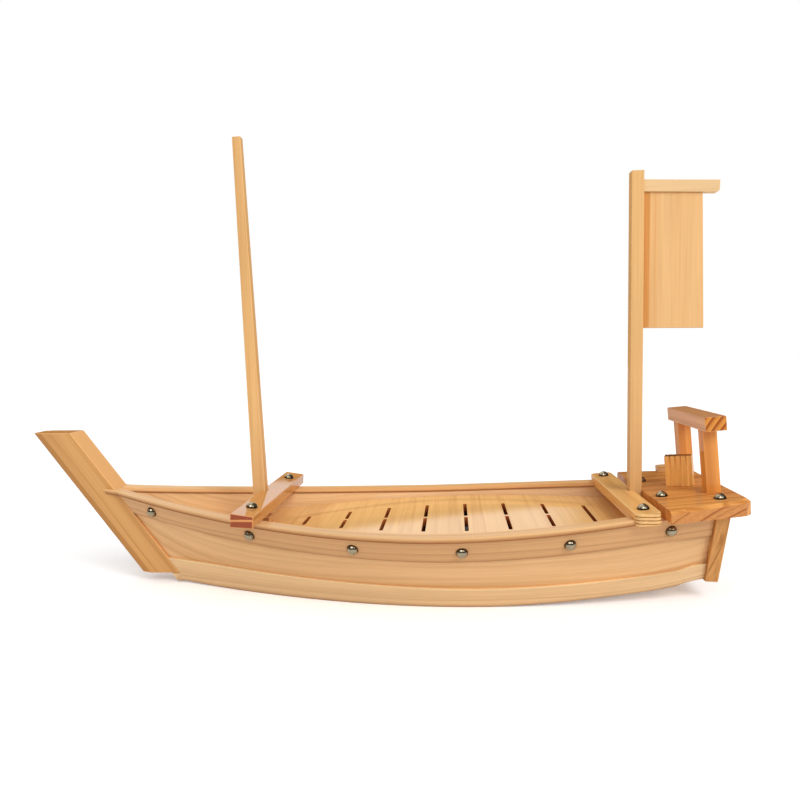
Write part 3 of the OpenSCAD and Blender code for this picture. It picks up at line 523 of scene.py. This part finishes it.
block_pine = pine("block pine", early=linear(255, 200, 116), late=linear(196, 114, 52),
                  end=linear(150, 96, 54), end_line=linear(104, 62, 32), lie=ALONG_Z, axis=Z_END,
                  pith=(-0.28, 0.05, 0.0), ring=0.005, waver=0.001, contrast=0.25, streak=0.15,
                  painted_shade_sharp=3.0)
block = dress("fluted_block", "hull", block_pine, edge=0.0004)
mark_flutes(block.data)
small_pine = pine("small block pine", early=linear(240, 196, 134), late=linear(214, 158, 96),
                  end=linear(220, 170, 110), end_line=linear(176, 120, 66))
dress("small_block", "hull", small_pine, edge=0.0006)

TOP_TURN = 0.7
LINTEL_TOP_SHADE = 0.75
lintel_pine = pine("lintel pine", early=linear(238, 184, 138), late=linear(194, 132, 82),
                   end=linear(222, 146, 64), end_line=linear(164, 84, 24), lie=ALONG_Y, axis=Y_END,
                   pith=(-0.59, 0.01, 0.0), ring=0.0062, waver=0.0008, contrast=0.6, coat=0.4,
                   even=1.0, end_edges=(0.08, 0.5))
lintel = dress("lintel", "hull", lintel_pine, edge=0.001)
# The lintel's top faces take painted shade, darker than its lit front.
mark_faces(lintel, "painted_shade", lambda normal: normal.z > TOP_TURN, LINTEL_TOP_SHADE)

# Nails: domed heads of plated steel, driven through the wales, beams and stern deck. They are polished on
# top and a little tarnished, and darkened towards the rim, partly as tarnish and partly as a painted dark
# reflection.
TARNISH_WAVES = (420, 420, 420)
TARNISH_EDGES = ((0.5, 0.0), (0.8, 0.6))
RIM_EDGES = ((0.72, 0.0), (1.0, 1.0))
POLISH_ROUGHNESS = 0.06
TARNISH_ROUGHNESS = 0.2


def mark_rims(mesh):
    # Distance of each point from its own nail's axis, as a share of the head's radius. Nails are turned
    # shapes, so the axis is the one direction in which a nail's spread differs from the other two.
    points = points_of(mesh)
    shape = bmesh.new()
    shape.from_mesh(mesh)
    share = np.zeros(len(points))
    left = set(shape.verts)
    while left:
        nail = [left.pop()]
        for vert in nail:
            near = {e.other_vert(vert) for e in vert.link_edges} & left
            left -= near
            nail.extend(near)
        rows = [v.index for v in nail]
        off = points[rows] - points[rows].mean(axis=0)
        reach, ways = np.linalg.eigh(np.cov(off.T))
        axis = ways[:, 0] if reach[1] - reach[0] > reach[2] - reach[1] else ways[:, 2]
        radial = np.linalg.norm(off - np.outer(off @ axis, axis), axis=1)
        share[rows] = radial / radial.max()
    shape.free()
    mesh.attributes.new("rim", "FLOAT", "POINT").data.foreach_set("value", share)


nail_metal = bpy.data.materials.new("plated nail metal")
nail_metal.use_nodes = True
nail_tree = nail_metal.node_tree
nail_shader = nail_tree.nodes["Principled BSDF"]
nail_coords = nail_tree.nodes.new("ShaderNodeTexCoord")
tarnish = stretched_noise(nail_tree, nail_coords.outputs["Object"], TARNISH_WAVES)
# The rim is painted dark, partly tarnish and partly a painted dark reflection on the dome's edge.
rim_tarnish_and_reflection = ramp(nail_tree, own_value(nail_tree, "rim").outputs["Fac"], RIM_EDGES)
tarnish_and_reflection = math_node(nail_tree, "MAXIMUM", rim_tarnish_and_reflection, ramp(nail_tree, tarnish, TARNISH_EDGES))
nail_colour = mix_colour(nail_tree, tarnish_and_reflection, linear(176, 164, 138), linear(76, 62, 46))
link(nail_tree, nail_colour, nail_shader.inputs["Base Color"])
nail_shader.inputs["Metallic"].default_value = 1.0
nail_rough = math_node(nail_tree, "MULTIPLY", tarnish, TARNISH_ROUGHNESS)
nail_rough = math_node(nail_tree, "ADD", nail_rough, POLISH_ROUGHNESS)
link(nail_tree, nail_rough, nail_shader.inputs["Roughness"])
for name in ("port_wale_nails", "starboard_wale_nails", "fore_beam_nails", "rear_beam_nails",
             "stern_deck_nails"):
    nails = dress(name, "hull", nail_metal, edge=0.0003)
    mark_rims(nails.data)

# Floor: a plain matt white floor that runs out of sight under the boat. It keeps the boat's shadow, and is
# lifted to white for the camera alone.
WHITE = (1, 1, 1, 1)
FLOOR_HALF = 8.0
FLOOR_WHITE = (0.97, 0.97, 0.97, 1)
FLOOR_LIFT = 0.26
floor_shape = bmesh.new()
bmesh.ops.create_grid(floor_shape, x_segments=1, y_segments=1, size=FLOOR_HALF)
floor_mesh = bpy.data.meshes.new("floor")
floor_shape.to_mesh(floor_mesh)
floor_shape.free()
floor = bpy.data.objects.new("floor", floor_mesh)
bpy.context.scene.collection.objects.link(floor)
floor_paint = bpy.data.materials.new("white floor")
floor_paint.use_nodes = True
floor_tree = floor_paint.node_tree
floor_shader = floor_tree.nodes["Principled BSDF"]
floor_shader.inputs["Base Color"].default_value = FLOOR_WHITE
floor_shader.inputs["Roughness"].default_value = 1.0
floor_shader.inputs["Specular IOR Level"].default_value = 0.0
floor_shader.inputs["Emission Color"].default_value = WHITE
floor_rays = floor_tree.nodes.new("ShaderNodeLightPath")
floor_seen = math_node(floor_tree, "MULTIPLY", floor_rays.outputs["Is Camera Ray"], FLOOR_LIFT)
link(floor_tree, floor_seen, floor_shader.inputs["Emission Strength"])
floor_mesh.materials.append(floor_paint)

# Surround: an even white room. Glossy faces see more of it: behind the boat a warm low wall, a dark line
# and a bright wall above it that ends on the right, and in front a dim room with one soft box.
AMBIENT = 0.58
WALL_BRIGHT = 1.15
WALL_TILT = (0.05, 0, 1)
WALL_FOOT = 0.241
LINE_TOP = 0.235
LINE_FOOT = 0.231
LOW_WALL_TOP = 0.226
LOW_WALL = 0.8
DARK_LINE = 0.15
WARM_WALL = linear(226, 160, 90)
WALL_END = ((0.11, 1.0), (0.17, 0.09))
ROOM_LEVELS = ((0.02, 0.075), (0.42, 0.13), (0.6, 0.39))
FRONT_EDGES = ((0.0, 0.0), (0.15, 1.0))
BOX_BRIGHT = 5.0
BOX_WAY = Vector((-0.12, -0.68, 0.72)).normalized()
BOX_EDGES = ((0.95, 0.0), (0.96, 1.0))
world = bpy.data.worlds.new("white surround")
bpy.context.scene.world = world
world.use_nodes = True
world_tree = world.node_tree
backdrop = world_tree.nodes["Background"]
rays = world_tree.nodes.new("ShaderNodeLightPath")
way = world_tree.nodes.new("ShaderNodeTexCoord").outputs["Generated"]


def towards(direction):
    # How far the way that a ray goes leans towards a direction.
    return vector_node(world_tree, "DOT_PRODUCT", way, direction)


wall_height = towards(WALL_TILT)
behind = ramp(world_tree, wall_height, ((LOW_WALL_TOP, LOW_WALL), (LINE_FOOT, DARK_LINE),
                                        (LINE_TOP, DARK_LINE), (WALL_FOOT, 1.0)))
behind = math_node(world_tree, "MINIMUM", behind, ramp(world_tree, towards((1, 0, 0)), WALL_END))
before = ramp(world_tree, towards((0, 0, 1)), ROOM_LEVELS)
front = ramp(world_tree, towards((0, -1, 0)), FRONT_EDGES)
soft_box = ramp(world_tree, towards(tuple(BOX_WAY)), BOX_EDGES)
walls = math_node(world_tree, "MULTIPLY", mix_colour(world_tree, front, behind, before), WALL_BRIGHT)
studio = math_node(world_tree, "ADD", walls, math_node(world_tree, "MULTIPLY", soft_box, BOX_BRIGHT))
glossy = math_node(world_tree, "SUBTRACT", studio, AMBIENT)
glossy = math_node(world_tree, "MULTIPLY", rays.outputs["Is Glossy Ray"], glossy)
lit = math_node(world_tree, "ADD", glossy, AMBIENT)
seen = math_node(world_tree, "MAXIMUM", rays.outputs["Is Camera Ray"], rays.outputs["Is Transmission Ray"])
link(world_tree, math_node(world_tree, "MAXIMUM", lit, seen), backdrop.inputs["Strength"])
low_wall = ramp(world_tree, wall_height, ((LINE_TOP, 1.0), (WALL_FOOT, 0.0)))
warm = math_node(world_tree, "MULTIPLY", low_wall, math_node(world_tree, "SUBTRACT", 1.0, front))
warm = math_node(world_tree, "MULTIPLY", warm, rays.outputs["Is Glossy Ray"])
link(world_tree, mix_colour(world_tree, warm, WHITE, WARM_WALL), backdrop.inputs["Color"])

# Lamps: one broad sun from the front right, as soft as a bright overcast sky and left out of reflections,
# and a soft box on each side of the camera.
KEY_PLACE = (0.75, -1.0, 1.2)
KEY_POWER = 1.15
KEY_SPREAD = math.radians(40)
BOX_SIZE = 0.6


def aim(lamp, name, place, target):
    lamp_object = bpy.data.objects.new(name, lamp)
    lamp_object.location = place
    lamp_object.rotation_euler = (Vector(target) - Vector(place)).to_track_quat("-Z", "Y").to_euler()
    bpy.context.scene.collection.objects.link(lamp_object)
    return lamp_object


def soft_lamp(name, place, target, power):
    lamp = bpy.data.lights.new(name, "AREA")
    lamp.size = BOX_SIZE
    lamp.energy = power
    aim(lamp, name, place, target)


sky = bpy.data.lights.new("broad key", "SUN")
sky.energy = KEY_POWER
sky.angle = KEY_SPREAD
key = aim(sky, "broad key", place=KEY_PLACE, target=(0, 0, 0))
key.visible_glossy = False
soft_lamp("left box", place=(-0.9, -1.3, 1.3), target=(0.0, 0.0, 0.1), power=3.0)
soft_lamp("right box", place=(1.1, -1.2, 1.1), target=(0.1, 0.0, 0.1), power=5.0)
bpy.context.scene.view_settings.view_transform = "Standard"

# Camera: placed and turned as fitted to the photograph's edges. Its focal length was found in pixels of
# the square frame.
EYE = Vector((0.0894, -0.7019, 0.2420))
YAW = math.radians(4.45)
PITCH = math.radians(4.23)
ROLL = math.radians(-1.0)
FOCAL_PIXELS = 683.2
FRAME_PIXELS = 800
SENSOR = 36.0
ahead = Vector((-math.sin(YAW) * math.cos(PITCH), math.cos(YAW) * math.cos(PITCH), -math.sin(PITCH)))
level_right = Vector((math.cos(YAW), math.sin(YAW), 0.0))
level_up = level_right.cross(ahead)
right = level_right * math.cos(ROLL) + level_up * math.sin(ROLL)
up = level_up * math.cos(ROLL) - level_right * math.sin(ROLL)
lens = bpy.data.cameras.new("camera")
lens.sensor_width = SENSOR
lens.lens = FOCAL_PIXELS / FRAME_PIXELS * SENSOR
camera = bpy.data.objects.new("camera", lens)
camera.matrix_world = Matrix.Translation(EYE) @ Matrix((right, up, -ahead)).transposed().to_4x4()
bpy.context.scene.collection.objects.link(camera)
bpy.context.scene.camera = camera
